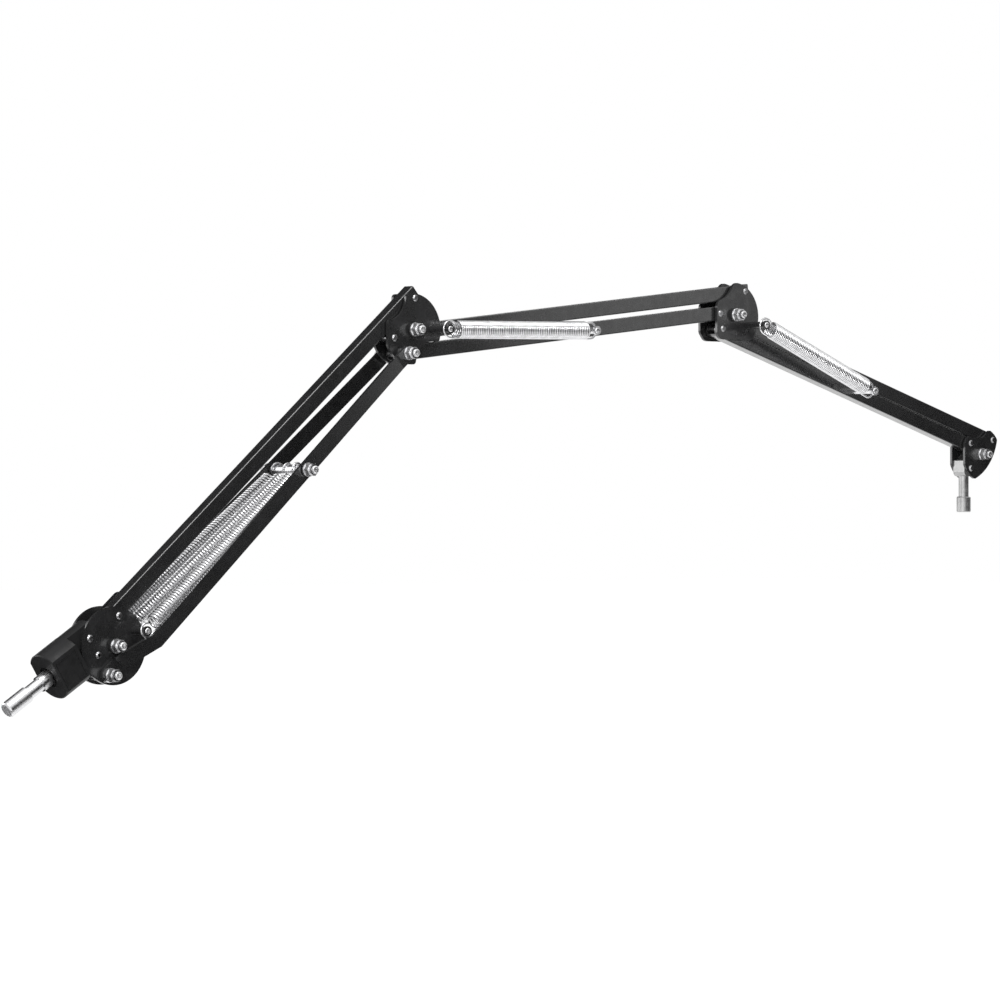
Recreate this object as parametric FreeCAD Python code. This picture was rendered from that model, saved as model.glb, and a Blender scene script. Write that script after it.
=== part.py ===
import FreeCAD, Part
import math
import os

# Spring-balanced microphone boom arm: three parallelogram sections between pairs of pivot plates.
# Millimetres. +X runs along the arm, +Z is up and -Y is the near side, which carries the nuts and posts.
# The origin is the middle of the grip of the base spigot.

# Base spigot, leaning in the plane of the arm
spigot_d = 16.0
spigot_neck_d = 13.2
spigot_grip = 27.0
spigot_neck = 17.0
spigot_collar = 12.0
spigot_insert = 30.0
spigot_chamfer = 1.2
spigot_lean_deg = 32.0

# Base block: a round bar with two flats, bored for the spigot
block_d = 49.0
block_width = 36.0
block_length = 32.5
tongue_short = 10.35
block_clear = 2.36
tongue_height = 44.0
block_edge = 1.0
block_recess_d = 22.0
block_recess_depth = 3.0
block_rivet_back_share = 0.265
block_rivet_apart_share = 0.26
panel_length = 26.0
panel_height = 29.0
panel_t = 0.5
panel_rim = 1.2
panel_along = 3.0
panel_drop = 1.6
panel_corner = 1.5

# Pivot plates; the discs of the base and the head follow those of the middle joints
joint_plate_d = 73.0
base_plate_share = 1.027
wrist_plate_share = 0.986
head_plate_share = 0.83
plate_t = 3.0
plate_gap = 17.0
ear_reach_share = 0.285
ear_share = 0.123
plate_corner = 4.0
wrist_corner = 8.0
boss_d = 14.0
boss_t = 3.5

# Shares of the joint plates' diameter: pivots from the hub bolt, across and up
base_upper_share = (0.0875, 0.3888)
base_lower_back_share = 0.3416
base_post_share = (0.3205, 0.1908)
elbow_upper_share = (0.048, 0.436)
elbow_rivet_share = (-0.322, -0.122)
wrist_upper_share = (0.241, 0.352)
wrist_post_share = (0.282, -0.152)
head_upper_share = (0.247, 0.226)
head_rivet_share = (-0.247, -0.216)

# Shares of the joint plates' diameter: step from the lower pivot of a section to its upper one
middle_step_share = (0.5096, 0.3356)
upper_step_share = (0.496, 0.055)

# Shares of the joint plates' diameter: flattened sides and scooped corners
elbow_left_share = 0.445
elbow_floor_share = 0.48
elbow_bite_shares = ((-0.445, 0.442, 0.322), (0.377, -0.475, 0.322))
wrist_centre_share = (0.007, -0.016)
wrist_left_share = 0.3466
wrist_far_left_share = 0.43
wrist_floor_share = 0.349
wrist_far_floor_share = 0.37
wrist_bite_shares = ((-0.37, 0.575, 0.377),)
head_left_share = 0.384
head_floor_share = 0.48
head_sweep_shares = ((-0.462, 0.385, 0.822),)
head_bite_shares = ((-0.11, 0.56, 0.322),)

# Sections: length between pivots and lean at rest
hub_below = 11.5
lower_length = 482.0
lower_lean_deg = 40.5
middle_length = 444.0
middle_lean_deg = 6.8
upper_length = 405.4
upper_lean_deg = -17.1

# Square tube bars
bar_height_share = 0.208
bar_width = 14.0
bar_wall = 1.6
bar_corner = 1.2
bar_overhang = 8.2
lower_rise_share = 0.105
upper_upper_rise_share = 0.013
upper_lower_rise_share = -0.08

# Flat links of the lower arm, bent in to the base plates
link_height = 15.0
link_t = 3.6
link_foot = 17.0
link_joggle = 34.0
link_toe = 15.0
link_spread = 40.0
link_foot_gap = 0.5
hub_link_clear = 0.5
foot_collar_t = 4.0
elbow_spacer_t = 4.4
cross_share = 0.625

# Pins, bolts, nuts and posts
pin_d = 5.6
pin_head_d = 7.0
pin_head_tip_d = 4.6
pin_head_t = 1.3
bolt_d = 8.0
bolt_head_t = 5.0
nut_flats = 12.0
nut_t = 6.4
nut_collar_d = 11.0
nut_collar_t = 1.8
washer_d = 14.0
washer_t = 1.5
spacer_d = 11.0
thread_out = 2.6
post_d = 7.6
post_tip_d = 9.6
post_tip_t = 2.2
base_post_reach = 31.6
post_reach = 38.6
spring_pin_d = 6.4
sleeve_d = 10.0
sleeve_end_gap = 0.4
running = 0.05
seat = 0.02
side_gap = 0.3

# Springs: pitch-wound wire on an eye at the post and a hook at the moving end
lower_wire_d = 1.9
lower_coil_d = 13.5
lower_base_out = 29.0
lower_cross_out = 16.0
joint_wire_d = 2.2
joint_coil_d = 16.8
joint_spring_out = 34.5
middle_pin_share = 0.536
upper_pin_share = 0.524
coil_turns = 20
eye_slack = 0.4
plug_gap = 0.3
plug_length = 7.0
eye_to_coil = 13.0
coil_lead = 3.0

# Head stud between the last plates
stud_d = 16.0
stud_head = 17.5
stud_neck_d = 11.4
stud_neck = 23.0
stud_lobe_r = 9.0
stud_block_back = 8.0
stud_block_top = 8.5
stud_block_heel = 5.0
stud_chamfer = 1.0

overrun = 5.0
arc_spans_per_turn = 4
gap_samples_per_turn = 36

V = FreeCAD.Vector
ACROSS = V(0, 1, 0)
UP = V(0, 0, 1)


def place(x, z):
    return V(x, 0, z)


def heading(degrees):
    return V(math.cos(math.radians(degrees)), 0, math.sin(math.radians(degrees)))


def plate_step(shares):
    """Step from the hub of a pair of plates, given as shares of the joint plates' diameter."""
    return place(joint_plate_d * shares[0], joint_plate_d * shares[1])


def square_to(direction):
    return V(-direction.z, 0, direction.x)


# Sizes that follow from the ones above
half_gap = plate_gap / 2
outer_face = half_gap + plate_t
base_plate_d = joint_plate_d * base_plate_share
wrist_plate_d = joint_plate_d * wrist_plate_share
head_plate_d = joint_plate_d * head_plate_share
hub_along = block_length + block_clear + base_plate_d / 2
tongue_end = hub_along - tongue_short
block_rivet_along = hub_along - joint_plate_d * block_rivet_back_share
block_rivet_apart = joint_plate_d * block_rivet_apart_share
bar_height = joint_plate_d * bar_height_share
lower_bar_rise = bar_height * lower_rise_share
upper_upper_rise = bar_height * upper_upper_rise_share
upper_lower_rise = bar_height * upper_lower_rise_share
cross_along = lower_length * cross_share
spigot_axis = heading(spigot_lean_deg)
spigot_square = square_to(spigot_axis)
spigot_length = spigot_grip + spigot_neck + spigot_collar
block_face = spigot_axis * (spigot_length - spigot_grip / 2)

# Pivots, walked out from the base
base_hub = block_face + spigot_axis * hub_along - spigot_square * hub_below
base_upper = base_hub + plate_step(base_upper_share)
base_post = base_hub + plate_step(base_post_share)
lower_axis = heading(lower_lean_deg)
base_lower = base_hub - lower_axis * (joint_plate_d * base_lower_back_share)
base_lower = base_lower - square_to(lower_axis) * (washer_d / 2 + hub_link_clear + link_height / 2)
elbow_upper = base_upper + lower_axis * lower_length
elbow_lower = base_lower + lower_axis * lower_length
elbow_hub = elbow_upper - plate_step(elbow_upper_share)
elbow_rivet = elbow_hub + plate_step(elbow_rivet_share)
elbow_post = elbow_lower + plate_step(middle_step_share)
middle_axis = heading(middle_lean_deg)
wrist_upper = elbow_post + middle_axis * middle_length
wrist_lower = elbow_lower + middle_axis * middle_length
wrist_hub = wrist_upper - plate_step(wrist_upper_share)
wrist_post = wrist_hub + plate_step(wrist_post_share)
wrist_rivet = wrist_post - plate_step(upper_step_share)
upper_axis = heading(upper_lean_deg)
head_upper = wrist_post + upper_axis * upper_length
head_lower = wrist_rivet + upper_axis * upper_length
head_hub = head_upper - plate_step(head_upper_share)
head_rivet = head_hub + plate_step(head_rivet_share)
cross_point = base_lower + lower_axis * cross_along


def rod(centre, diameter, start, end):
    """Round bar across the arm, from y = start to y = end."""
    return Part.makeCylinder(diameter / 2, end - start, centre + ACROSS * start, ACROSS)


def tube(centre, outer, inner, start, end):
    return rod(centre, outer, start, end).cut(rod(centre, inner, start - overrun, end + overrun))


def hexagon(centre, flats, start, end):
    corner = flats / math.sqrt(3)
    points = [centre + ACROSS * start + heading(60 * side) * corner for side in range(7)]
    return Part.Face(Part.makePolygon(points)).extrude(ACROSS * (end - start))


def chamfered(shape, size, keep):
    """Chamfer the edges of the shape that keep() picks."""
    return shape.makeChamfer(size, [edge for edge in shape.Edges if keep(edge)])


def runs_across(edge):
    ends = [vertex.Point for vertex in edge.Vertexes]
    return len(ends) == 2 and (ends[1] - ends[0]).normalize().cross(ACROSS).Length < seat


def save(name, *solids):
    shape = solids[0] if len(solids) == 1 else Part.makeCompound(list(solids))
    if not shape.isValid():
        raise ValueError(name + " is not a valid shape")
    shape.exportStep("parts/" + name + ".step")


def nut_with_washer(centre, seat_y, side):
    """Lock nut on a washer; side is -1 for the near side, where it stands out towards -Y."""
    washer = [seat_y, seat_y + side * washer_t]
    body = [washer[1], washer[1] + side * nut_t]
    collar = [body[1], body[1] + side * nut_collar_t]
    ring = tube(centre, washer_d, bolt_d + 2 * seat, min(washer), max(washer))
    nut = hexagon(centre, nut_flats, min(body), max(body))
    nut = nut.fuse(rod(centre, nut_collar_d, min(collar), max(collar))).removeSplitter()
    bore = rod(centre, bolt_d + 2 * seat, min(body + collar) - overrun, max(body + collar) + overrun)
    return [ring, nut.cut(bore)]


def nut_stack():
    return washer_t + nut_t + nut_collar_t


def bolt(centre, near_seat, far_seat):
    """Bolt with its head on a washer on the far side and its thread out of the near nut."""
    head = far_seat + washer_t
    shank = rod(centre, bolt_d, -near_seat - nut_stack() - thread_out, head)
    cap = hexagon(centre, nut_flats, head, head + bolt_head_t)
    return shank.fuse(cap).removeSplitter()


def far_washer(centre, far_seat):
    return tube(centre, washer_d, bolt_d + 2 * seat, far_seat, far_seat + washer_t)


def rivet_pin(centre):
    """Pivot pin through both plates, with a low crowned head on each."""
    shank = rod(centre, pin_d, -outer_face, outer_face)
    heads = [Part.makeCone(pin_head_d / 2, pin_head_tip_d / 2, pin_head_t, centre + way * outer_face, way)
             for way in (-ACROSS, ACROSS)]
    return shank.fuse(heads).removeSplitter()


def plate_pair(outline, holes):
    """Two plates of the same outline, the near one first, drilled for (place, diameter) holes."""
    pair = []
    for start in (-outer_face, half_gap):
        plate = outline.extrude(ACROSS * plate_t)
        plate.translate(ACROSS * start)
        drills = [rod(centre, size + 2 * seat, start - overrun, start + plate_t + overrun)
                  for centre, size in holes]
        pair.append(plate.cut(drills))
    return pair


def disc_face(centre, radius):
    return Part.Face(Part.Wire(Part.makeCircle(radius, centre, ACROSS)))


def joint_outline(centre, diameter, left, floor, bites, corner, sweeps=()):
    """Disc flattened on the incoming side and below, with scooped corners and wider sweeps that trim it."""
    whole = disc_face(centre, diameter / 2).extrude(ACROSS * plate_t)
    depth = plate_t + 2 * overrun
    side = Part.makeBox(diameter, depth, 2 * diameter, centre + V(-left - diameter, -overrun, -diameter))
    below = Part.makeBox(2 * diameter, depth, diameter, centre + V(-diameter, -overrun, -floor - diameter))
    scoops = [rod(scoop, 2 * radius, -overrun, plate_t + overrun) for scoop, radius in bites]
    whole = whole.cut([side, below] + scoops)
    for middle, radius in sweeps:
        whole = whole.common(rod(middle, 2 * radius, -overrun, plate_t + overrun))
    corners = [edge for edge in whole.Edges if runs_across(edge)]
    whole = whole.makeFillet(corner, corners)
    return min(whole.Faces, key=lambda face: face.CenterOfMass.y)


def bites_of(hub, shares):
    return [(hub + plate_step(share), joint_plate_d * share[2]) for share in shares]


def with_boss(plate, hub):
    """Plate with the round boss that its hub nut sits on."""
    boss = tube(hub, boss_d, bolt_d + 2 * seat, -outer_face - boss_t, -outer_face)
    return plate.fuse(boss).removeSplitter()


def square_bar(start, end, rise, bores, overhang):
    """Square tube from pivot to pivot with a round nose, or a square overhang, at its end."""
    direction = (end - start).normalize()
    reach = (end - start).Length
    half = V(0, bar_width / 2, bar_height / 2)
    corner = V(-bar_height, 0, rise) - half
    length = reach + 2 * bar_height
    body = Part.makeBox(length, bar_width, bar_height, corner)
    edges = [edge for edge in body.Edges if abs(edge.Vertexes[0].X - edge.Vertexes[1].X) > bar_height]
    body = body.makeFillet(bar_corner, edges)
    hollow = Part.makeBox(length + 2 * overrun, bar_width - 2 * bar_wall, bar_height - 2 * bar_wall,
                          corner + V(-overrun, bar_wall, bar_wall))
    noses = [rod(place(along, rise), bar_height, -bar_width, bar_width) for along in (0, reach)]
    straight = Part.makeBox(reach + overhang, 2 * bar_width, bar_height,
                            V(0, -bar_width, rise - bar_height / 2))
    body = body.cut(hollow).common(straight.fuse(noses).removeSplitter())
    body.Placement = FreeCAD.Placement(start, FreeCAD.Rotation(V(1, 0, 0), direction))
    drills = [rod(centre, size + 2 * running, -bar_width, bar_width) for centre, size in bores]
    return body.cut(drills)


def bent_link(side):
    """Flat link from the base bolt to the elbow bolt; side is -1 for the near one."""
    foot = outer_face + link_foot_gap + link_t / 2
    toe = outer_face + elbow_spacer_t + side_gap + link_t / 2
    run = [(-link_height, foot), (link_foot, foot), (link_foot + link_joggle, link_spread),
           (lower_length - link_toe, toe), (lower_length + link_height, toe)]
    inner = []
    outer = []
    for index, (along, out) in enumerate(run):
        before = run[max(index - 1, 0)]
        after = run[min(index + 1, len(run) - 1)]
        turn_in = math.atan2(out - before[1], along - before[0]) if index else 0.0
        turn_out = math.atan2(after[1] - out, after[0] - along) if index < len(run) - 1 else 0.0
        lean = (turn_in + turn_out) / 2
        reach = link_t / 2 / math.cos((turn_out - turn_in) / 2)
        step = (-math.sin(lean) * reach, math.cos(lean) * reach)
        outer.append(V(along + step[0], side * (out + step[1]), -link_height / 2))
        inner.append(V(along - step[0], side * (out - step[1]), -link_height / 2))
    points = outer + inner[::-1]
    strip = Part.Face(Part.makePolygon(points + [points[0]])).extrude(UP * link_height)
    ends = [rod(place(along, 0), link_height, -2 * link_spread, 2 * link_spread)
            for along in (0, lower_length)]
    corner = V(0, -2 * link_spread, -link_height / 2)
    middle = Part.makeBox(lower_length, 4 * link_spread, link_height, corner)
    strip = strip.common(ends[0].fuse([ends[1], middle]).removeSplitter())
    strip.Placement = FreeCAD.Placement(base_lower, FreeCAD.Rotation(V(1, 0, 0), lower_axis))
    holes = [base_lower, elbow_lower, cross_point]
    drills = [rod(centre, bolt_d + 2 * running, -2 * link_spread, 2 * link_spread) for centre in holes]
    return strip.cut(drills)


def link_out(along):
    """Distance of the middle of a link from the plane of the arm, on its long straight run."""
    toe = outer_face + elbow_spacer_t + side_gap + link_t / 2
    first = link_foot + link_joggle
    share = (along - first) / (lower_length - link_toe - first)
    return link_spread + (toe - link_spread) * share


def arc_edge(start, direction, end):
    """Arc, or line, that leaves start in the given direction and reaches end."""
    chord = end - start
    ahead = chord.dot(direction)
    aside = chord - direction * ahead
    if aside.Length < chord.Length * seat * seat:
        return Part.LineSegment(start, end).toShape()
    turn = 2 * math.atan2(aside.Length, ahead)
    radius = chord.Length / 2 / math.sin(turn / 2)
    towards = V(aside).normalize()
    centre = start + towards * radius
    middle = centre - towards * radius * math.cos(turn / 2) + direction * radius * math.sin(turn / 2)
    return Part.Arc(start, middle, end).toShape()


def biarc(start, start_way, end, end_way):
    """Two arcs that join two places with their directions."""
    chord = end - start
    a = 2 * (1 - start_way.dot(end_way))
    b = 2 * chord.dot(start_way + end_way)
    c = -chord.dot(chord)
    reach = (-b + math.sqrt(b * b - 4 * a * c)) / (2 * a)
    knot = (start + end + (start_way - end_way) * reach) / 2
    first = arc_edge(start, start_way, knot)
    knot_way = (end - end_way * reach - knot).normalize()
    return [first, arc_edge(knot, knot_way, end)]


def coil(start, end, coil_d, wire_d):
    """One unbroken wire wound from start to end, with a straight lead at both ends."""
    axis = V(end - start)
    length = axis.Length
    axis.normalize()
    side = axis.cross(ACROSS).normalize()
    other = axis.cross(side)
    radius = coil_d / 2
    climb = length / (2 * math.pi * coil_turns)

    def point(angle):
        return start + axis * climb * angle + (side * math.cos(angle) + other * math.sin(angle)) * radius

    def way(angle):
        return (axis * climb + (other * math.cos(angle) - side * math.sin(angle)) * radius).normalize()

    spans = coil_turns * arc_spans_per_turn
    angles = [2 * math.pi * index / arc_spans_per_turn for index in range(spans + 1)]
    edges = [Part.LineSegment(point(0) - way(0) * coil_lead, point(0)).toShape()]
    for first, last in zip(angles, angles[1:]):
        edges += biarc(point(first), way(first), point(last), way(last))
    last = point(angles[-1])
    edges.append(Part.LineSegment(last, last + way(angles[-1]) * coil_lead).toShape())
    mouth = point(0) - way(0) * coil_lead
    profile = Part.Wire(Part.makeCircle(wire_d / 2, mouth, way(0)))
    wire = Part.Wire(edges).makePipeShell([profile], True, False)
    steps = 2 * gap_samples_per_turn
    places = [point(2 * math.pi * index / gap_samples_per_turn) for index in range(steps + 1)]
    near = min((place_b - places[0]).Length for place_b in places[gap_samples_per_turn // 2:])
    print("least gap of the wire to itself", round(near - wire_d, 2), "mm")
    return wire


def spring_eye(centre, towards, held_d, coil_d, wire_d):
    """Loop round a post with a plug that the first turns of the wire grip."""
    way = V(towards - centre).normalize()
    loop_r = held_d / 2 + wire_d / 2 + eye_slack
    loop = Part.makeTorus(loop_r, wire_d / 2, centre, ACROSS)
    shank = Part.makeCylinder(wire_d / 2, eye_to_coil - loop_r, centre + way * loop_r, way)
    plug_d = coil_d - wire_d - 2 * plug_gap
    plug = Part.makeCylinder(plug_d / 2, plug_length, centre + way * eye_to_coil, way)
    return loop.fuse([shank, plug]).removeSplitter()


def spring_set(start, end, held_start, held_end, coil_d, wire_d):
    """Eye at the start, hook at the end and the coil between them."""
    way = V(end - start).normalize()
    eye = spring_eye(start, end, held_start, coil_d, wire_d)
    hook = spring_eye(end, start, held_end, coil_d, wire_d)
    first = start + way * (eye_to_coil + wire_d / 2)
    last = end - way * (eye_to_coil + wire_d / 2)
    return eye, hook, coil(first, last, coil_d, wire_d)


def post(centre, near_reach, far_reach):
    """Spring post through both plates, with a wider tip to keep the eye on."""
    shank = rod(centre, post_d, -near_reach, far_reach)
    tips = [rod(centre, post_tip_d, -near_reach - post_tip_t, -near_reach),
            rod(centre, post_tip_d, far_reach, far_reach + post_tip_t)]
    return shank.fuse(tips).removeSplitter()


# Base spigot, turned about its own axis
spigot_start = spigot_axis * (-spigot_grip / 2)
grip = Part.makeCylinder(spigot_d / 2, spigot_grip, spigot_start, spigot_axis)
grip = chamfered(grip, spigot_chamfer, lambda edge: edge.CenterOfMass.distanceToPoint(spigot_start) < seat)
neck_start = spigot_start + spigot_axis * spigot_grip
neck = Part.makeCylinder(spigot_neck_d / 2, spigot_neck, neck_start, spigot_axis)
collar_start = neck_start + spigot_axis * spigot_neck
collar = Part.makeCylinder(spigot_d / 2, spigot_collar + spigot_insert, collar_start, spigot_axis)
save("base_spigot", grip.fuse([neck, collar]).removeSplitter())

# Base block: round bar with two flats, and a tongue between the plates; bored and recessed for the spigot
def flattened_bar(diameter, length, width, lift):
    start = block_face + spigot_square * lift
    bar = Part.makeCylinder(diameter / 2, length, start, spigot_axis)
    bar = chamfered(bar, block_edge, lambda edge: edge.Closed)
    reach = 2 * (diameter + length)
    slab = Part.makeBox(reach, width, reach, start - V(reach / 2, width / 2, reach / 2))
    return bar.common(slab)


block = flattened_bar(block_d, block_length, block_width, 0)
tongue = flattened_bar(tongue_height, tongue_end, plate_gap, (block_d - tongue_height) / 2)
rivet_row = block_face + spigot_axis * block_rivet_along
block_rivets = [rivet_row + spigot_square * (block_rivet_apart / 2),
                rivet_row - spigot_square * (block_rivet_apart / 2)]
mouth = block_face - spigot_axis * overrun
cuts = [Part.makeCylinder(spigot_d / 2 + seat, spigot_insert + overrun, mouth, spigot_axis),
        Part.makeCylinder(block_recess_d / 2, block_recess_depth + overrun, mouth, spigot_axis)]
cuts += [rod(centre, pin_d + 2 * seat, -block_width, block_width) for centre in block_rivets]
save("base_block", block.fuse(tongue).removeSplitter().cut(cuts))

# Bare name panel on the near flat, with a raised rim
panel_turn = FreeCAD.Rotation(V(1, 0, 0), spigot_axis)
panel_place = block_face + spigot_axis * panel_along - spigot_square * panel_drop
panel_place = panel_place - ACROSS * (block_width / 2 + panel_t)
sheet = Part.makeBox(panel_length, panel_t, panel_height, V(0, 0, -panel_height / 2))
sheet = sheet.makeFillet(panel_corner, [edge for edge in sheet.Edges if runs_across(edge)])
field = Part.makeBox(panel_length - 2 * panel_rim, panel_t / 2, panel_height - 2 * panel_rim,
                     V(panel_rim, 0, panel_rim - panel_height / 2))
sheet = sheet.cut(field)
sheet.Placement = FreeCAD.Placement(panel_place, panel_turn)
save("block_panel", sheet)

# Base plates: plain discs, the far one with an ear beside the upper bar
base_holes = [(base_hub, bolt_d), (base_upper, pin_d), (base_lower, bolt_d), (base_post, post_d)]
base_holes += [(centre, pin_d) for centre in block_rivets]
near_plate, far_plate = plate_pair(disc_face(base_hub, base_plate_d / 2), base_holes)
ear_reach = joint_plate_d * ear_reach_share
ear_r = joint_plate_d * ear_share
ear_end = base_upper + lower_axis * ear_reach
ear = Part.makeBox(ear_reach, plate_t, 2 * ear_r, V(0, half_gap, -ear_r))
ear.Placement = FreeCAD.Placement(base_upper, FreeCAD.Rotation(V(1, 0, 0), lower_axis))
ear = ear.fuse(rod(ear_end, 2 * ear_r, half_gap, outer_face))
ear = ear.cut(rod(base_upper, pin_d + 2 * seat, -overrun, 2 * outer_face))
save("base_plate_near", with_boss(near_plate, base_hub))
save("base_plate_far", far_plate.fuse(ear).removeSplitter())

# Base fasteners
solid_rivet = rivet_pin(block_rivets[0])
hollow_rivet = rivet_pin(block_rivets[1]).cut(
    rod(block_rivets[1], pin_d / 2, -2 * outer_face, 2 * outer_face))
save("base_block_rivets", solid_rivet, hollow_rivet)
hub_seat = outer_face + boss_t
save("base_hub_bolt", bolt(base_hub, hub_seat, outer_face))
save("base_hub_nut", *nut_with_washer(base_hub, -hub_seat, -1), far_washer(base_hub, outer_face))
save("base_spacers", *[tube(centre, spacer_d, bolt_d + 2 * seat, -half_gap, half_gap)
                       for centre in (base_hub, base_lower)])
save("base_upper_pin", rivet_pin(base_upper))
base_link_seat = outer_face + link_foot_gap + link_t + side_gap
near_seat = base_link_seat + foot_collar_t
foot_collar = tube(base_lower, boss_d, bolt_d + 2 * seat, -near_seat, -base_link_seat)
save("base_lower_bolt", bolt(base_lower, near_seat, base_link_seat))
save("base_lower_nut", foot_collar, *nut_with_washer(base_lower, -near_seat, -1),
     far_washer(base_lower, base_link_seat))
save("base_spring_post", post(base_post, base_post_reach, base_post_reach))

# Lower arm
save("lower_upper_bar", square_bar(base_upper, elbow_upper, lower_bar_rise,
                                   [(base_upper, pin_d), (elbow_upper, pin_d)], bar_overhang))
save("lower_link_near", bent_link(-1))
save("lower_link_far", bent_link(1))
cross_inner = link_out(cross_along) - link_t
cross_seat = link_out(cross_along) + link_t
save("spring_cross_bolt", bolt(cross_point, cross_seat, cross_seat))
save("cross_bolt_nut", *nut_with_washer(cross_point, -cross_seat, -1), far_washer(cross_point, cross_seat))
save("cross_bolt_sleeve", tube(cross_point, sleeve_d, bolt_d + 2 * seat,
                               sleeve_end_gap - cross_inner, cross_inner - sleeve_end_gap))
lower_eyes = []
lower_hooks = []
for name, side in (("near", -1), ("middle", 0), ("far", 1)):
    first = base_post + ACROSS * side * lower_base_out
    last = cross_point + ACROSS * side * lower_cross_out
    eye, hook, wire = spring_set(first, last, post_d, sleeve_d, lower_coil_d, lower_wire_d)
    lower_eyes.append(eye)
    lower_hooks.append(hook)
    save("lower_spring_" + name, wire)
save("lower_spring_eyes", *lower_eyes)
save("lower_spring_hooks", *lower_hooks)

# Elbow
elbow_holes = [(elbow_hub, bolt_d), (elbow_upper, pin_d), (elbow_lower, bolt_d), (elbow_post, post_d),
               (elbow_rivet, pin_d)]
elbow_face = joint_outline(elbow_hub, joint_plate_d, joint_plate_d * elbow_left_share,
                           joint_plate_d * elbow_floor_share,
                           bites_of(elbow_hub, elbow_bite_shares), plate_corner)
near_plate, far_plate = plate_pair(elbow_face, elbow_holes)
save("elbow_plate_near", with_boss(near_plate, elbow_hub))
save("elbow_plate_far", far_plate)
save("elbow_hub_bolt", bolt(elbow_hub, hub_seat, outer_face))
save("elbow_hub_nut", *nut_with_washer(elbow_hub, -hub_seat, -1), far_washer(elbow_hub, outer_face))
save("elbow_hub_spacer", tube(elbow_hub, spacer_d, bolt_d + 2 * seat, -half_gap, half_gap))
save("elbow_upper_pin", rivet_pin(elbow_upper))
save("elbow_rivet", rivet_pin(elbow_rivet))
elbow_link_seat = outer_face + elbow_spacer_t + 2 * side_gap + link_t
save("elbow_lower_bolt", bolt(elbow_lower, elbow_link_seat, elbow_link_seat))
save("elbow_lower_nut", *nut_with_washer(elbow_lower, -elbow_link_seat, -1),
     far_washer(elbow_lower, elbow_link_seat))
save("elbow_lower_spacers",
     tube(elbow_lower, spacer_d, bolt_d + 2 * seat, -outer_face - elbow_spacer_t, -outer_face),
     tube(elbow_lower, spacer_d, bolt_d + 2 * seat, outer_face, outer_face + elbow_spacer_t))
save("elbow_spring_post", post(elbow_post, post_reach, outer_face))

# Middle arm
save("middle_upper_bar", square_bar(elbow_post, wrist_upper, 0,
                                    [(elbow_post, post_d), (wrist_upper, pin_d)], bar_overhang))
middle_pin = elbow_lower + middle_axis * (middle_length * middle_pin_share)
middle_lower = square_bar(elbow_lower, wrist_lower, 0,
                          [(elbow_lower, bolt_d), (wrist_lower, pin_d)], 0)
save("middle_lower_bar", middle_lower.cut(rod(middle_pin, spring_pin_d + 2 * seat, -bar_width, bar_width)))


def spring_pin(centre):
    """Pin through a lower bar, with a wider tip that keeps the spring's hook on."""
    shank = rod(centre, spring_pin_d, -post_reach, bar_width / 2)
    tip = rod(centre, post_tip_d, -post_reach - post_tip_t, -post_reach)
    return shank.fuse(tip).removeSplitter()


save("middle_spring_pin", spring_pin(middle_pin))
out = ACROSS * -joint_spring_out
eye, hook, wire = spring_set(elbow_post + out, middle_pin + out, post_d, spring_pin_d,
                             joint_coil_d, joint_wire_d)
save("middle_spring_eye", eye)
save("middle_spring_hook", hook)
save("middle_spring", wire)

# Wrist
wrist_holes = [(wrist_hub, bolt_d), (wrist_upper, pin_d), (wrist_lower, pin_d), (wrist_post, post_d),
               (wrist_rivet, pin_d)]
wrist_middle = wrist_hub + plate_step(wrist_centre_share)
wrist_bites = bites_of(wrist_hub, wrist_bite_shares)
near_face = joint_outline(wrist_middle, wrist_plate_d, joint_plate_d * wrist_left_share,
                          joint_plate_d * wrist_floor_share, wrist_bites, wrist_corner)
far_face = joint_outline(wrist_middle, wrist_plate_d, joint_plate_d * wrist_far_left_share,
                         joint_plate_d * wrist_far_floor_share, wrist_bites, wrist_corner)
near_plate = plate_pair(near_face, wrist_holes)[0]
far_plate = plate_pair(far_face, wrist_holes)[1]
save("wrist_plate_near", with_boss(near_plate, wrist_hub))
save("wrist_plate_far", far_plate)
save("wrist_hub_bolt", bolt(wrist_hub, hub_seat, outer_face))
save("wrist_hub_nut", *nut_with_washer(wrist_hub, -hub_seat, -1), far_washer(wrist_hub, outer_face))
save("wrist_pins", *[rivet_pin(centre) for centre in (wrist_upper, wrist_lower, wrist_rivet)])
save("wrist_spring_post", post(wrist_post, post_reach, outer_face))

# Upper arm
save("upper_upper_bar", square_bar(wrist_post, head_upper, upper_upper_rise,
                                   [(wrist_post, post_d), (head_upper, pin_d)], 0))
upper_pin = wrist_rivet + upper_axis * (upper_length * upper_pin_share)
upper_pin = upper_pin + square_to(upper_axis) * upper_lower_rise
upper_lower = square_bar(wrist_rivet, head_lower, upper_lower_rise,
                         [(wrist_rivet, pin_d), (head_lower, pin_d)], 0)
save("upper_lower_bar", upper_lower.cut(rod(upper_pin, spring_pin_d + 2 * seat, -bar_width, bar_width)))
save("upper_spring_pin", spring_pin(upper_pin))
eye, hook, wire = spring_set(wrist_post + out, upper_pin + out, post_d, spring_pin_d,
                             joint_coil_d, joint_wire_d)
save("upper_spring_eye", eye)
save("upper_spring_hook", hook)
save("upper_spring", wire)

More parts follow.
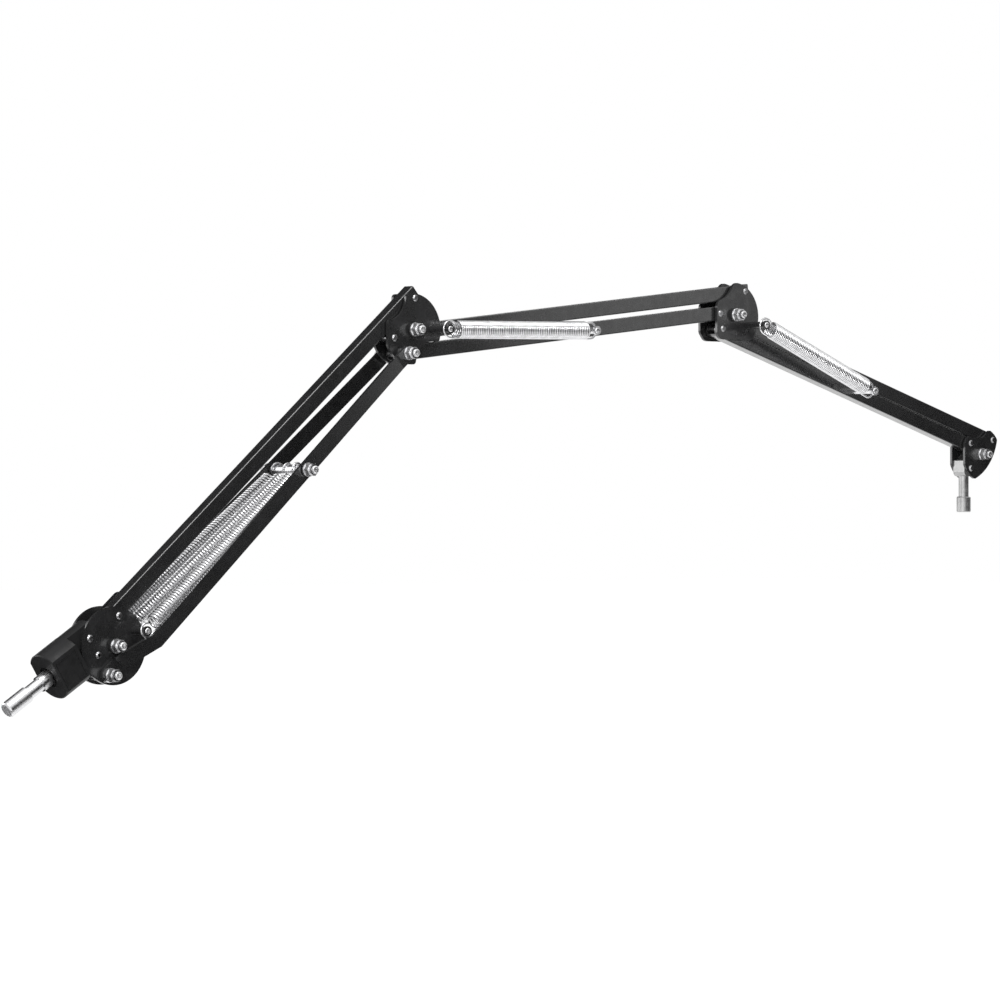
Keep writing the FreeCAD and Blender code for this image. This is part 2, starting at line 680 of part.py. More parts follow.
# Head: leaf-shaped plates, stud block held by the bolt and a rivet
head_holes = [(head_hub, bolt_d), (head_upper, pin_d), (head_lower, pin_d), (head_rivet, pin_d)]
head_face = joint_outline(head_hub, head_plate_d, joint_plate_d * head_left_share,
                          joint_plate_d * head_floor_share, bites_of(head_hub, head_bite_shares),
                          plate_corner, bites_of(head_hub, head_sweep_shares))
near_plate, far_plate = plate_pair(head_face, head_holes)
save("head_plate_near", near_plate)
save("head_plate_far", far_plate)
save("head_bolt", bolt(head_hub, outer_face, outer_face))
save("head_nut", *nut_with_washer(head_hub, -outer_face, -1), far_washer(head_hub, outer_face))
save("head_pins", *[rivet_pin(centre) for centre in (head_upper, head_lower, head_rivet)])
back = head_rivet - place(stud_block_back, stud_lobe_r)
stud_block = Part.makeBox(stud_block_back + stud_lobe_r, plate_gap, stud_lobe_r + stud_block_top,
                          back - ACROSS * half_gap)
across = sorted([edge for edge in stud_block.Edges if runs_across(edge)],
                key=lambda edge: edge.CenterOfMass.x + edge.CenterOfMass.z)
stud_block = stud_block.makeFillet(stud_block_heel, across[:1]).removeSplitter()
rise = square_to((head_hub - head_rivet).normalize()) * stud_lobe_r
web = Part.Face(Part.makePolygon([head_rivet + rise, head_rivet - rise, head_hub - rise, head_hub + rise,
                                  head_rivet + rise])).extrude(ACROSS * plate_gap)
web.translate(ACROSS * -half_gap)
web = web.fuse(stud_block)
lobes = [rod(head_hub, 2 * stud_lobe_r, -half_gap, half_gap)]
stud_top = head_rivet - UP * stud_lobe_r / 2
neck = Part.makeCylinder(stud_neck_d / 2, stud_neck + stud_lobe_r / 2, stud_top, -UP)
head_start = head_rivet - UP * (stud_lobe_r + stud_neck)
knob = Part.makeCylinder(stud_d / 2, stud_head, head_start, -UP)
knob = chamfered(knob, stud_chamfer, lambda edge: edge.Closed)
stud = web.fuse(lobes + [neck, knob]).removeSplitter()
stud = stud.cut([rod(head_hub, bolt_d + 2 * seat, -plate_gap, plate_gap),
                 rod(head_rivet, pin_d + 2 * seat, -plate_gap, plate_gap)])
save("head_stud", stud)
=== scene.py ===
import math
import bmesh
import bpy
from mathutils import Matrix, Vector


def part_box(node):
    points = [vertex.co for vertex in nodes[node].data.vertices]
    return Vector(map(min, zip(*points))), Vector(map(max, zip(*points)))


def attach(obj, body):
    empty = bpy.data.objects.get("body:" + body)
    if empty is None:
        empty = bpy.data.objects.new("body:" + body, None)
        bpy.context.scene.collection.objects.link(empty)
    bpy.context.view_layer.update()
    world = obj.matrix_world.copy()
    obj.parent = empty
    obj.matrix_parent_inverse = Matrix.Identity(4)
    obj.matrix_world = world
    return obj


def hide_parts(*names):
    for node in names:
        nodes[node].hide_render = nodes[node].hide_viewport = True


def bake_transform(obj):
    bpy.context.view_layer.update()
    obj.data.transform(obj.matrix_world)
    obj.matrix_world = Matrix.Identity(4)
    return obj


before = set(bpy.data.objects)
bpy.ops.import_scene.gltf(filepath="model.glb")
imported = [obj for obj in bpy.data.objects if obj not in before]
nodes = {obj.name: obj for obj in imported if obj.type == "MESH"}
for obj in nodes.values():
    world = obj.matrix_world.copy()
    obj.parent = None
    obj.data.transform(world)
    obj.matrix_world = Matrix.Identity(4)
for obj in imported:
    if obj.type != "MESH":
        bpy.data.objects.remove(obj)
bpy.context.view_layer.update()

# Base spigot: a turned steel stub, chrome plated, that drops into a stand socket.
# Handling leaves faint smears in the plating, so its gloss wanders a little along the turned surface.
CLOUD_LOW = 0.3
CLOUD_HIGH = 0.7
CLOUD_DETAIL = 5
GRAIN_DEPTH = 0.0003


def plated(name, dark, bright, gloss, cloud, grain, dent):
    """Bare metal whose colour and gloss wander with a cloudy noise, with a fine dent from its grain."""
    material = bpy.data.materials.new(name)
    material.use_nodes = True
    tree = material.node_tree
    shader = tree.nodes["Principled BSDF"]
    shader.inputs["Metallic"].default_value = 1
    place = tree.nodes.new("ShaderNodeTexCoord")
    smear = tree.nodes.new("ShaderNodeTexNoise")
    smear.inputs["Scale"].default_value = cloud
    smear.inputs["Detail"].default_value = CLOUD_DETAIL
    tree.links.new(place.outputs["Object"], smear.inputs["Vector"])
    tint = tree.nodes.new("ShaderNodeValToRGB")
    tint.color_ramp.elements[0].position = CLOUD_LOW
    tint.color_ramp.elements[0].color = dark
    tint.color_ramp.elements[1].position = CLOUD_HIGH
    tint.color_ramp.elements[1].color = bright
    tree.links.new(smear.outputs["Fac"], tint.inputs["Fac"])
    tree.links.new(tint.outputs["Color"], shader.inputs["Base Color"])
    shine = tree.nodes.new("ShaderNodeMapRange")
    shine.inputs["From Min"].default_value = CLOUD_LOW
    shine.inputs["From Max"].default_value = CLOUD_HIGH
    shine.inputs["To Min"].default_value = gloss[0]
    shine.inputs["To Max"].default_value = gloss[1]
    tree.links.new(smear.outputs["Fac"], shine.inputs["Value"])
    tree.links.new(shine.outputs["Result"], shader.inputs["Roughness"])
    speck = tree.nodes.new("ShaderNodeTexNoise")
    speck.inputs["Scale"].default_value = grain
    tree.links.new(place.outputs["Object"], speck.inputs["Vector"])
    bump = tree.nodes.new("ShaderNodeBump")
    bump.inputs["Strength"].default_value = dent
    bump.inputs["Distance"].default_value = GRAIN_DEPTH
    tree.links.new(speck.outputs["Fac"], bump.inputs["Height"])
    tree.links.new(bump.outputs["Normal"], shader.inputs["Normal"])
    return material


def finish_nodes(material, *names):
    """Give machined pieces their finish."""
    for name in names:
        nodes[name].data.materials.clear()
        nodes[name].data.materials.append(material)


chrome = plated("spigot_chrome", dark=(0.60, 0.60, 0.61, 1), bright=(0.72, 0.72, 0.73, 1),
                gloss=(0.24, 0.34), cloud=55, grain=900, dent=0.004)
finish_nodes(chrome, "base_spigot")

# Spigot end: the sawn end of the stub, faced on a lathe and left unplated, so it is duller than the side.
# It is a thin round facet with a broken edge, and it looks down along the spigot.
SPIGOT_LEAN = math.radians(32)
FACET_R = 0.00675
FACET_T = 0.0003
FACET_SIDES = 48
FACET_TOP_SHARE = 1 - FACET_T / FACET_R
faced_steel = plated("faced_steel", dark=(0.46, 0.46, 0.47, 1), bright=(0.60, 0.60, 0.61, 1),
                     gloss=(0.5, 0.62), cloud=300, grain=1500, dent=0.06)


def raise_face(bm, height):
    """Draw a flat shape up into a plate, and give back the points of its upper face."""
    drawn = bmesh.ops.extrude_face_region(bm, geom=bm.faces[:])
    upper = [part for part in drawn["geom"] if isinstance(part, bmesh.types.BMVert)]
    bmesh.ops.translate(bm, verts=upper, vec=(0, 0, height))
    return upper


def made_piece(bm, name, material, smooth=False):
    """Turn a finished bmesh into a piece of the scene."""
    mesh = bpy.data.meshes.new(name)
    bm.to_mesh(mesh)
    bm.free()
    mesh.materials.append(material)
    if smooth:
        for face in mesh.polygons:
            face.use_smooth = True
    piece = bpy.data.objects.new(name, mesh)
    bpy.context.scene.collection.objects.link(piece)
    return piece


end_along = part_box("base_spigot")[0].x + FACET_R * math.sin(SPIGOT_LEAN)
spigot_end = Vector((end_along, 0, end_along * math.tan(SPIGOT_LEAN)))
bm = bmesh.new()
bmesh.ops.create_circle(bm, segments=FACET_SIDES, radius=FACET_R, cap_ends=True)
bmesh.ops.scale(bm, verts=raise_face(bm, FACET_T), vec=(FACET_TOP_SHARE, FACET_TOP_SHARE, 1))
turn = Matrix.Rotation(-math.pi / 2 - SPIGOT_LEAN, 4, "Y")
bmesh.ops.transform(bm, matrix=Matrix.Translation(spigot_end) @ turn, verts=bm.verts)
bmesh.ops.recalc_face_normals(bm, faces=bm.faces)
facet = made_piece(bm, "spigot_end_facet", faced_steel)
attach(facet, "base")

# Base block and plates: steel sprayed in black enamel and baked, which dries with faint orange peel.
# The paint is a shade thinner in patches, and dust dulls its gloss unevenly. The block is more matt.
ENAMEL_DEEP = (0.018, 0.018, 0.0185, 1)
ENAMEL_THIN = (0.026, 0.026, 0.027, 1)
ENAMEL_GLOSS = (0.20, 0.34)
PATCH_SCALE = 24
PATCH_DETAIL = 6
PATCH_LOW = 0.35
PATCH_HIGH = 0.7
DUST_SCALE = 140
DUST_DETAIL = 4
DUST_LOW = 0.3
DUST_HIGH = 0.7
PEEL_SCALE = 620
PEEL_DEPTH = 0.0004
LACQUER_ROUGHNESS = 0.12


def enamelled(name, deep, thin, gloss, coat, peel, level=0.5):
    """Sprayed paint with patches in its colour, dust in its gloss and orange peel in its surface."""
    material = bpy.data.materials.new(name)
    material.use_nodes = True
    tree = material.node_tree
    shader = tree.nodes["Principled BSDF"]
    shader.inputs["Coat Weight"].default_value = coat
    shader.inputs["Coat Roughness"].default_value = LACQUER_ROUGHNESS
    shader.inputs["Specular IOR Level"].default_value = level
    place = tree.nodes.new("ShaderNodeTexCoord")
    patch = tree.nodes.new("ShaderNodeTexNoise")
    patch.inputs["Scale"].default_value = PATCH_SCALE
    patch.inputs["Detail"].default_value = PATCH_DETAIL
    tree.links.new(place.outputs["Object"], patch.inputs["Vector"])
    tint = tree.nodes.new("ShaderNodeValToRGB")
    tint.color_ramp.elements[0].position = PATCH_LOW
    tint.color_ramp.elements[0].color = deep
    tint.color_ramp.elements[1].position = PATCH_HIGH
    tint.color_ramp.elements[1].color = thin
    tree.links.new(patch.outputs["Fac"], tint.inputs["Fac"])
    tree.links.new(tint.outputs["Color"], shader.inputs["Base Color"])
    dust = tree.nodes.new("ShaderNodeTexNoise")
    dust.inputs["Scale"].default_value = DUST_SCALE
    dust.inputs["Detail"].default_value = DUST_DETAIL
    tree.links.new(place.outputs["Object"], dust.inputs["Vector"])
    shine = tree.nodes.new("ShaderNodeMapRange")
    shine.inputs["From Min"].default_value = DUST_LOW
    shine.inputs["From Max"].default_value = DUST_HIGH
    shine.inputs["To Min"].default_value = gloss[0]
    shine.inputs["To Max"].default_value = gloss[1]
    tree.links.new(dust.outputs["Fac"], shine.inputs["Value"])
    tree.links.new(shine.outputs["Result"], shader.inputs["Roughness"])
    skin = tree.nodes.new("ShaderNodeTexNoise")
    skin.inputs["Scale"].default_value = PEEL_SCALE
    tree.links.new(place.outputs["Object"], skin.inputs["Vector"])
    bump = tree.nodes.new("ShaderNodeBump")
    bump.inputs["Strength"].default_value = peel
    bump.inputs["Distance"].default_value = PEEL_DEPTH
    tree.links.new(skin.outputs["Fac"], bump.inputs["Height"])
    tree.links.new(bump.outputs["Normal"], shader.inputs["Normal"])
    return material


enamel = enamelled("black_enamel", ENAMEL_DEEP, ENAMEL_THIN, ENAMEL_GLOSS, coat=0.35, peel=0.05)
block_enamel = enamelled("block_enamel", ENAMEL_DEEP, ENAMEL_THIN, gloss=(0.34, 0.46), coat=0, peel=0.08,
                         level=0.12)
finish_nodes(block_enamel, "base_block")
finish_nodes(enamel, "base_plate_near", "base_plate_far", "base_spring_post")

# Side panel: a thin pressed plate on the near flat of the block, plain all over.
# Its satin black is duller than the enamel round it.
satin = enamelled("panel_satin", deep=(0.007, 0.007, 0.0075, 1), thin=(0.012, 0.012, 0.0125, 1),
                  gloss=(0.34, 0.46), coat=0, peel=0.10)
finish_nodes(satin, "block_panel")

# Base fasteners: zinc-plated lock nuts, bolts and spacers, and rivet pins of plain steel peened over.
# Zinc has a mottled gloss, brighter than the spigot's chrome, and the rivets are darker.
zinc = plated("zinc_plate", dark=(0.66, 0.66, 0.67, 1), bright=(0.90, 0.90, 0.91, 1), gloss=(0.26, 0.42),
              cloud=160, grain=1500, dent=0.05)
rivet_steel = plated("rivet_steel", dark=(0.20, 0.20, 0.205, 1), bright=(0.38, 0.38, 0.385, 1),
                     gloss=(0.24, 0.40), cloud=260, grain=1700, dent=0.12)
finish_nodes(zinc, "base_hub_bolt", "base_hub_nut", "base_spacers", "base_lower_bolt", "base_lower_nut")
finish_nodes(rivet_steel, "base_block_rivets", "base_upper_pin")

# Painted shade on the lock nuts: each nut gets a very dark ring on its collar, round the end of the bolt, in
# place of the shade in the collar's recess.
# The ring is a flat washer shape that stands just proud of the collar.
RING_INNER = 0.00406
RING_OUTER = 0.0047
RING_PROUD = 0.0003
RING_SIDES = 32
# Very dark metal, painted shade that stands in for the shadow in the recess of each nut's collar.
painted_shade_steel = plated("painted_shade_steel", dark=(0.03, 0.03, 0.031, 1), bright=(0.06, 0.06, 0.061, 1),
                    gloss=(0.34, 0.5), cloud=260, grain=1700, dent=0.1)


def on_near_face(name):
    """Place of a shape that is made facing up, on the middle of a machined piece's near face."""
    low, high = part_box(name)
    middle = (low + high) / 2
    return Matrix.Translation((middle.x, low.y, middle.z)) @ Matrix.Rotation(math.radians(90), 4, "X")


def painted_shade_ring(nut, body):
    """Dark ring of painted shade on the near face of a nut, riding on the nut's body."""
    bm = bmesh.new()
    for radius in (RING_INNER, RING_OUTER):
        bmesh.ops.create_circle(bm, segments=RING_SIDES, radius=radius, cap_ends=False)
    bmesh.ops.bridge_loops(bm, edges=bm.edges[:])
    raise_face(bm, RING_PROUD)
    bmesh.ops.transform(bm, matrix=on_near_face(nut), verts=bm.verts)
    bmesh.ops.recalc_face_normals(bm, faces=bm.faces)
    ring = made_piece(bm, nut + "_ring", painted_shade_steel)
    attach(ring, body)


# Each lock nut gets a ring of painted shade on its collar.
for nut, body in (("base_hub_nut", "base"), ("base_lower_nut", "base"), ("cross_bolt_nut", "lower_links"),
                  ("elbow_hub_nut", "elbow"), ("elbow_lower_nut", "elbow"), ("wrist_hub_nut", "wrist"),
                  ("head_nut", "head")):
    painted_shade_ring(nut, body)

# Rounded tips: each black spring post is closed on the near side by a bright domed screw with a socket, and
# each bolt ends past its nut in a rounded point with a centre mark.
# Both are turned as a dome, with its middle pushed in.
SCREW_R = 0.0031
BOLT_R = 0.0039
DOME_HEIGHT = 0.0012
DOME_SIDES = 24
DOME_RINGS = 12
DOME_FOOT_SHARE = 0.02
SOCKET_R = 0.0013
SOCKET_DEPTH = 0.7 * DOME_HEIGHT


def rounded_tip(post, body, radius):
    """Dome on the near tip of a post, pin or bolt, riding on the same body."""
    bm = bmesh.new()
    bmesh.ops.create_uvsphere(bm, u_segments=DOME_SIDES, v_segments=DOME_RINGS, radius=radius)
    lower = [vert for vert in bm.verts if vert.co.z < -radius * DOME_FOOT_SHARE]
    bmesh.ops.delete(bm, geom=lower, context="VERTS")
    bmesh.ops.scale(bm, verts=bm.verts, vec=(1, 1, DOME_HEIGHT / radius))
    rim = [edge for edge in bm.edges if edge.is_boundary]
    bmesh.ops.holes_fill(bm, edges=rim, sides=0)
    socket = [vert for vert in bm.verts if vert.co.xy.length < SOCKET_R]
    bmesh.ops.translate(bm, verts=socket, vec=(0, 0, -SOCKET_DEPTH))
    bmesh.ops.transform(bm, matrix=on_near_face(post), verts=bm.verts)
    bmesh.ops.recalc_face_normals(bm, faces=bm.faces)
    screw = made_piece(bm, post + "_screw", zinc, smooth=True)
    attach(screw, body)


rounded_tip("base_spring_post", "base", SCREW_R)
for bolt, body in (("base_hub_bolt", "base"), ("base_lower_bolt", "base"),
                   ("spring_cross_bolt", "lower_links"), ("elbow_hub_bolt", "elbow"),
                   ("elbow_lower_bolt", "elbow"), ("wrist_hub_bolt", "wrist"), ("head_bolt", "head")):
    rounded_tip(bolt, body, BOLT_R)

# Lower arm: a square tube above, and two flat links that are bent in to the base plates.
# Bars and links are sprayed as the plates are, with a full coat of lacquer on top.
# A bolt with a sleeve crosses the links and carries the springs.
bar_enamel = enamelled("bar_enamel", ENAMEL_DEEP, ENAMEL_THIN, ENAMEL_GLOSS, coat=1, peel=0.05)
finish_nodes(bar_enamel, "lower_upper_bar", "lower_link_near", "lower_link_far")
finish_nodes(zinc, "spring_cross_bolt", "cross_bolt_nut", "cross_bolt_sleeve")

# Lower springs: hard-drawn wire wound on a mandrel and bright plated, one on each side and one between.
# The last turn at each end is bent up into a hook, over the post at the base and the cross bolt's sleeve.
# The one between is wound slimmer, to pass the tube above it.
WIRE_SIDES = 8
STEPS_PER_TURN = 18
BEND_SHARE = 1.6
BEND_STEPS = 4
HOOK_SWEEP = math.radians(236)
HOOK_STEPS = 16
HOOK_ROOM = 0.0004
MERGE_SHARE = 0.02
POST_R = 0.0038
SLEEVE_R = 0.005
LOWER_POST_OUT = 0.029
LOWER_CROSS_OUT = 0.016
LOWER_COIL = 0.00675
LOWER_WIRE = 0.00118
LOWER_PITCH = 0.0033
LOWER_GAP = 0.0135
MIDDLE_COIL = 0.0062
MIDDLE_WIRE = 0.00104
lower_wire = plated("lower_wire", dark=(0.56, 0.56, 0.57, 1), bright=(0.76, 0.76, 0.77, 1),
                    gloss=(0.22, 0.32), cloud=220, grain=1800, dent=0.03)


def edges_of(parts):
    """The edges among the parts that an operator gives back."""
    return [part for part in parts if isinstance(part, bmesh.types.BMEdge)]


def wind_hook(bm, ring, height, end, coil, wire, held):
    """Carry the wire on from a ring at the end of the coil: a tight bend, a straight leg and a hook."""
    bend = BEND_SHARE * wire
    spun = bmesh.ops.spin(bm, geom=ring, cent=(coil, 0, height + end * bend), axis=(1, 0, 0), dvec=(0, 0, 0),
                          angle=math.radians(90), steps=BEND_STEPS, use_merge=False)
    centre = held - end * (coil - wire)
    leg = bmesh.ops.extrude_edge_only(bm, edges=edges_of(spun["geom_last"]))
    moved = [part for part in leg["geom"] if isinstance(part, bmesh.types.BMVert)]
    bmesh.ops.translate(bm, verts=moved, vec=(0, 0, centre - height - end * bend))
    ring = [edge for edge in edges_of(leg["geom"]) if all(vert in moved for vert in edge.verts)]
    spun = bmesh.ops.spin(bm, geom=ring, cent=(0, 0, centre), axis=(0, -end, 0), dvec=(0, 0, 0),
                          angle=HOOK_SWEEP, steps=HOOK_STEPS, use_merge=False)
    bmesh.ops.holes_fill(bm, edges=edges_of(spun["geom_last"]), sides=WIRE_SIDES)


def wind_spring(name, start, finish, start_r, finish_r, coil, wire, pitch, gap, metal):
    """One wound spring from the post at start to the pin at finish, with a hook at both ends."""
    way = finish - start
    length = way.length
    first = gap
    last = length - gap
    turns = round((length - 2 * gap) / pitch)
    steps = turns * STEPS_PER_TURN
    rise = (last - first) / steps
    bm = bmesh.new()
    seed = bmesh.ops.create_circle(bm, segments=WIRE_SIDES, radius=wire, cap_ends=False)
    upright = Matrix.Rotation(math.radians(90), 3, "X")
    bmesh.ops.rotate(bm, verts=seed["verts"], cent=(0, 0, 0), matrix=upright)
    bmesh.ops.translate(bm, verts=seed["verts"], vec=(coil, 0, first))
    opening = bm.edges[:]
    spun = bmesh.ops.spin(bm, geom=opening, cent=(0, 0, 0), axis=(0, 0, 1), dvec=(0, 0, rise),
                          angle=2 * math.pi * turns, steps=steps, use_merge=False)
    closing = edges_of(spun["geom_last"])
    wind_hook(bm, opening, first, -1, coil, wire, -start_r - HOOK_ROOM)
    wind_hook(bm, closing, last, 1, coil, wire, length + finish_r + HOOK_ROOM)
    bmesh.ops.remove_doubles(bm, verts=bm.verts, dist=wire * MERGE_SHARE)
    bmesh.ops.recalc_face_normals(bm, faces=bm.faces)
    along = way.normalized()
    side = Vector((0, 1, 0)).cross(along).normalized()
    across = along.cross(side)
    turn = Matrix((side, across, along)).transposed().to_4x4()
    bmesh.ops.transform(bm, matrix=Matrix.Translation(start) @ turn, verts=bm.verts)
    return made_piece(bm, name, metal, smooth=True)


def middle_of(name):
    """The middle of a machined piece's box."""
    low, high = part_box(name)
    return (low + high) / 2


for name, side in (("near", -1), ("middle", 0), ("far", 1)):
    hung = middle_of("base_spring_post") + Vector((0, side * LOWER_POST_OUT, 0))
    held = middle_of("cross_bolt_sleeve") + Vector((0, side * LOWER_CROSS_OUT, 0))
    coil = LOWER_COIL if side else MIDDLE_COIL
    wire = LOWER_WIRE if side else MIDDLE_WIRE
    spring = wind_spring("lower_coil_" + name, hung, held, POST_R, SLEEVE_R, coil, wire,
                         LOWER_PITCH, LOWER_GAP, lower_wire)
    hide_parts("lower_spring_" + name)
    if side == 0:
        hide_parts("lower_spring_eyes", "lower_spring_hooks")
    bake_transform(spring)

# Elbow: two scooped plates clamped by a hub bolt, which carry the ends of both sections.
# A black post stands out of the near side for the next spring.
finish_nodes(enamel, "elbow_plate_near", "elbow_plate_far", "elbow_spring_post")
finish_nodes(zinc, "elbow_hub_bolt", "elbow_hub_nut", "elbow_hub_spacer",
             "elbow_lower_bolt", "elbow_lower_nut", "elbow_lower_spacers")
finish_nodes(rivet_steel, "elbow_upper_pin", "elbow_rivet")
rounded_tip("elbow_spring_post", "elbow", SCREW_R)

# Middle arm: two square tubes, one above the other, and one close-wound spring on the near side.
# The spring runs from the elbow's post to a pin in the lower tube, and its wire is polished brighter.
PIN_R = 0.0032
SIDE_COIL = 0.0084
SIDE_WIRE = 0.0011
SIDE_PITCH = 0.00245
SIDE_GAP = 0.0125
SIDE_OUT = -0.0345
finish_nodes(bar_enamel, "middle_upper_bar", "middle_lower_bar")
finish_nodes(zinc, "middle_spring_pin")
rounded_tip("middle_spring_pin", "middle_bottom", SCREW_R)
joint_wire = plated("joint_wire", dark=(0.58, 0.58, 0.59, 1), bright=(0.82, 0.82, 0.83, 1),
                    gloss=(0.12, 0.24), cloud=220, grain=1800, dent=0.03)


def side_point(name):
    """The point beside the bars where a spring hangs on a post or a pin."""
    middle = middle_of(name)
    return Vector((middle.x, SIDE_OUT, middle.z))


hung = side_point("elbow_spring_post")
held = side_point("middle_spring_pin")
middle_coil = wind_spring("middle_coil", hung, held, POST_R, PIN_R, SIDE_COIL, SIDE_WIRE,
                          SIDE_PITCH, SIDE_GAP, joint_wire)
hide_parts("middle_spring", "middle_spring_eye", "middle_spring_hook")
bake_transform(middle_coil)

# Wrist: two plates with one scooped side, clamped by a hub bolt like the elbow's.
# Its post carries the spring of the upper arm.
finish_nodes(enamel, "wrist_plate_near", "wrist_plate_far", "wrist_spring_post")
finish_nodes(zinc, "wrist_hub_bolt", "wrist_hub_nut")
finish_nodes(rivet_steel, "wrist_pins")
rounded_tip("wrist_spring_post", "wrist", SCREW_R)

# Upper arm: two square tubes that lie almost against each other, with a spring on the near side.
# The spring is the same winding as the middle arm's, a little shorter.
finish_nodes(bar_enamel, "upper_upper_bar", "upper_lower_bar")
finish_nodes(zinc, "upper_spring_pin")
rounded_tip("upper_spring_pin", "upper_bottom", SCREW_R)
hung = side_point("wrist_spring_post")
held = side_point("upper_spring_pin")
upper_coil = wind_spring("upper_coil", hung, held, POST_R, PIN_R, SIDE_COIL, SIDE_WIRE,
                         SIDE_PITCH, SIDE_GAP, joint_wire)
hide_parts("upper_spring", "upper_spring_eye", "upper_spring_hook")
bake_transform(upper_coil)

# Head: two lobed plates round a cast block, whose stud hangs down for the microphone holder.
# The block and stud are blasted alloy, so they look dull and slightly grainy.
blasted = plated("blasted_alloy", dark=(0.36, 0.36, 0.36, 1), bright=(0.50, 0.50, 0.50, 1),
                 gloss=(0.38, 0.52), cloud=90, grain=1300, dent=0.2)
finish_nodes(enamel, "head_plate_near", "head_plate_far")
finish_nodes(zinc, "head_bolt", "head_nut")
finish_nodes(rivet_steel, "head_pins")
finish_nodes(blasted, "head_stud")

# Studio floor: a wide sheet of pale matt paper, laid well below the arm.
# It shows white to the eye, in gloss and through glass, and still takes the arm's shadow.
FLOOR_DROP = 0.9
FLOOR_HALF = 40.0
FLOOR_COLOUR = (0.88, 0.88, 0.88, 1)
FLOOR_LIFT = 0.65
WHITE = (1, 1, 1, 1)


def seen_rays(tree):
    """Output that is 1 for what the eye sees directly, in gloss or through glass, and 0 for soft light."""
    path = tree.nodes.new("ShaderNodeLightPath")
    seen = path.outputs["Is Camera Ray"]
    for ray in ("Is Glossy Ray", "Is Transmission Ray"):
        either = tree.nodes.new("ShaderNodeMath")
        either.operation = "MAXIMUM"
        tree.links.new(seen, either.inputs[0])
        tree.links.new(path.outputs[ray], either.inputs[1])
        seen = either.outputs["Value"]
    return seen


floor_paper = bpy.data.materials.new("floor_paper")
floor_paper.use_nodes = True
tree = floor_paper.node_tree
shader = tree.nodes["Principled BSDF"]
shader.inputs["Base Color"].default_value = FLOOR_COLOUR
shader.inputs["Roughness"].default_value = 1
shader.inputs["Specular IOR Level"].default_value = 0
shader.inputs["Emission Color"].default_value = WHITE
lift = tree.nodes.new("ShaderNodeMath")
lift.operation = "MULTIPLY"
lift.inputs[1].default_value = FLOOR_LIFT
tree.links.new(seen_rays(tree), lift.inputs[0])
tree.links.new(lift.outputs["Value"], shader.inputs["Emission Strength"])
bm = bmesh.new()
bmesh.ops.create_grid(bm, x_segments=1, y_segments=1, size=FLOOR_HALF)
bmesh.ops.translate(bm, verts=bm.verts, vec=(0, 0, -FLOOR_DROP))
floor = made_piece(bm, "floor", floor_paper)

# Studio world: the white walls of the studio, all round the arm.
# They are white to the eye, in gloss and through glass, and a softer grey as a light.
WALL_STRENGTH = 1.0
WALL_GLOW = 0.45
world = bpy.data.worlds.new("studio")
bpy.context.scene.world = world
world.use_nodes = True
tree = world.node_tree
tree.nodes.clear()
backdrop = tree.nodes.new("ShaderNodeBackground")
backdrop.inputs["Color"].default_value = WHITE
backdrop.inputs["Strength"].default_value = WALL_STRENGTH
glow = tree.nodes.new("ShaderNodeBackground")
glow.inputs["Color"].default_value = WHITE
glow.inputs["Strength"].default_value = WALL_GLOW
mix = tree.nodes.new("ShaderNodeMixShader")
tree.links.new(seen_rays(tree), mix.inputs["Fac"])
tree.links.new(glow.outputs["Background"], mix.inputs[1])
tree.links.new(backdrop.outputs["Background"], mix.inputs[2])
output = tree.nodes.new("ShaderNodeOutputWorld")
tree.links.new(mix.outputs["Shader"], output.inputs["Surface"])

# Lamps: a large soft box above the base, whose light runs along the edges of the bars, and a smaller one
# on the left. A weak third one stands behind and lights the rims. All are aimed at the arm's middle.
ARM_MIDDLE = Vector((0.65, 0.0, 0.25))


def soft_box(name, place, side, watts):
    """Square studio lamp at a place, turned to the middle of the arm."""
    lamp = bpy.data.lights.new(name, "AREA")
    lamp.shape = "SQUARE"
    lamp.size = side
    lamp.energy = watts
    box = bpy.data.objects.new(name, lamp)
    box.location = place
    box.rotation_euler = (ARM_MIDDLE - Vector(place)).to_track_quat("-Z", "Y").to_euler()
    bpy.context.scene.collection.objects.link(box)


soft_box("edge_box", place=(-0.1, -0.85, 2.25), side=1.0, watts=26.0)
soft_box("left_box", place=(-2.2, -1.6, 1.2), side=0.6, watts=26.0)
soft_box("rim_box", place=(-0.85, 1.75, 0.7), side=1.0, watts=10.0)

# Flags: matt black cards round the arm, which the gloss of the paint and the plating picks up as darkness.
# Three stand in front on the right, one large one behind, and two small ones under the base.
# They throw no shadow and take no part in the soft light.
BASE_MIDDLE = Vector((0.08, 0.0, 0.03))
ALONG = Vector((0.755, 0.656, 0.0))
UP = Vector((0.0, 0.0, 1.0))
FRONT_RIGHT = Vector((0.656, -0.755, 0.0))
BEHIND = Vector((0.25, 0.755, 0.6))
BELOW_BACK = Vector((-0.287, 0.755, -0.589))
BELOW_FRONT = Vector((-0.181, -0.674, -0.714))
RIGHT_AIM = ARM_MIDDLE - 1.05 * ALONG
LOW_RIGHT_AIM = ARM_MIDDLE + 0.28 * ALONG - 0.56 * UP
HEAD_AIM = ARM_MIDDLE + 0.95 * ALONG
LARGE_FLAG_FAR = 1.7
SMALL_FLAG_FAR = 0.6
FELT_COLOUR = (0.004, 0.004, 0.004, 1)
flag_felt = bpy.data.materials.new("flag_felt")
flag_felt.use_nodes = True
felt = flag_felt.node_tree.nodes["Principled BSDF"]
felt.inputs["Base Color"].default_value = FELT_COLOUR
felt.inputs["Specular IOR Level"].default_value = 0


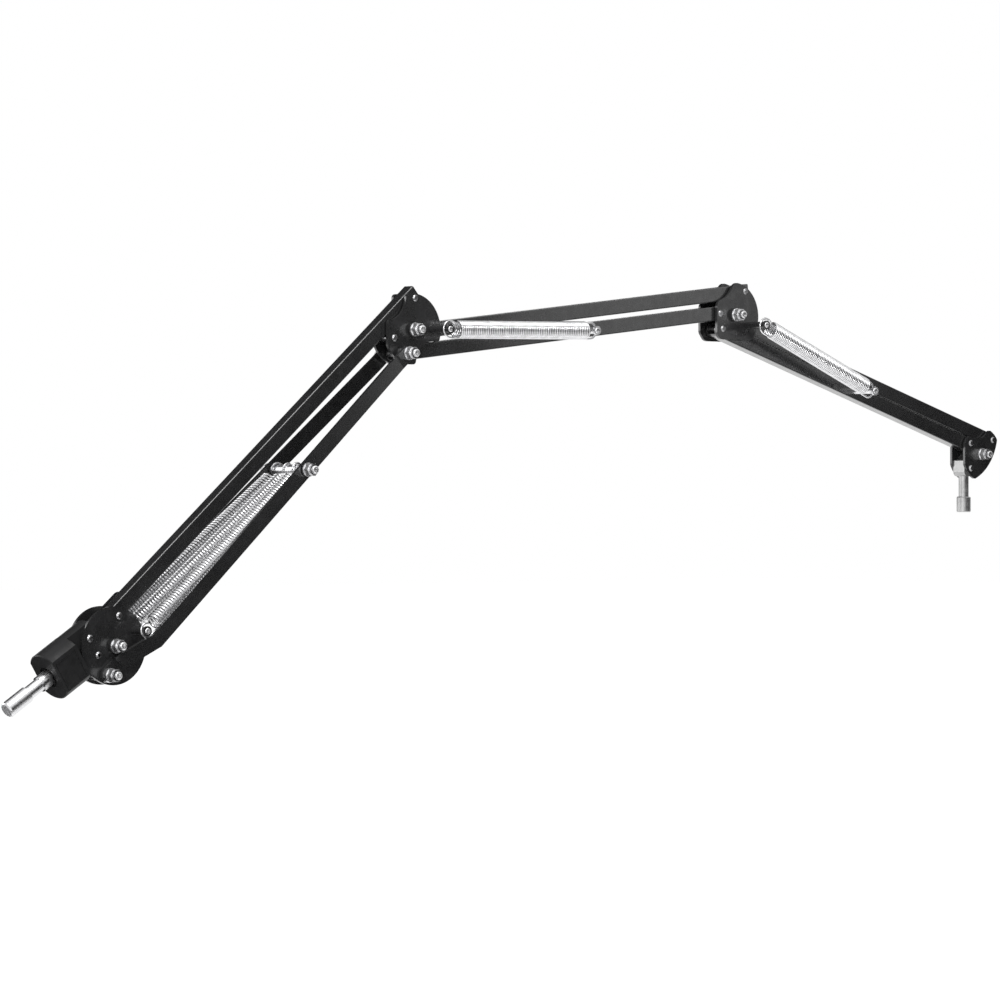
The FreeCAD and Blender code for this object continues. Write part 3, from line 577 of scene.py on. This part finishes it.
def flag_card(name, aim, way, far, wide, high):
    """Black card that faces a point from some way off, seen only in gloss."""
    bm = bmesh.new()
    bmesh.ops.create_grid(bm, x_segments=1, y_segments=1, size=1)
    bmesh.ops.scale(bm, verts=bm.verts, vec=(wide / 2, high / 2, 1))
    turn = way.to_track_quat("Z", "Y").to_matrix().to_4x4()
    place = aim + way.normalized() * far
    bmesh.ops.transform(bm, matrix=Matrix.Translation(place) @ turn, verts=bm.verts)
    flag = made_piece(bm, name, flag_felt)
    flag.visible_camera = False
    flag.visible_diffuse = False
    flag.visible_shadow = False
    flag.visible_transmission = False


flag_card("flag_right", RIGHT_AIM, FRONT_RIGHT, LARGE_FLAG_FAR, wide=2.0, high=1.6)
flag_card("flag_low_right", LOW_RIGHT_AIM, FRONT_RIGHT, LARGE_FLAG_FAR, wide=0.7, high=1.3)
flag_card("flag_head", HEAD_AIM, FRONT_RIGHT, LARGE_FLAG_FAR, wide=1.0, high=1.6)
flag_card("flag_behind", ARM_MIDDLE, BEHIND, LARGE_FLAG_FAR, wide=2.8, high=1.6)
flag_card("flag_low_back", BASE_MIDDLE, BELOW_BACK, SMALL_FLAG_FAR, wide=0.6, high=0.6)
flag_card("flag_low_front", BASE_MIDDLE, BELOW_FRONT, SMALL_FLAG_FAR, wide=0.6, high=0.6)

# Camera: held level with a long lens, from the base end of the near side.
# Its film is full frame, and the clip lies past the floor's edge.
CAMERA_PLACE = (-2.328, -3.367, 0.1895)
CAMERA_HEADING = math.radians(-41)
CAMERA_LENS = 156.6
FILM_WIDTH = 36
CLIP_FAR = 200
camera_data = bpy.data.cameras.new("camera")
camera_data.lens = CAMERA_LENS
camera_data.sensor_width = FILM_WIDTH
camera_data.clip_end = CLIP_FAR
camera = bpy.data.objects.new("camera", camera_data)
camera.location = CAMERA_PLACE
camera.rotation_euler = (math.radians(90), 0, CAMERA_HEADING)
bpy.context.scene.collection.objects.link(camera)
bpy.context.scene.camera = camera
bpy.context.scene.view_settings.view_transform = "Standard"
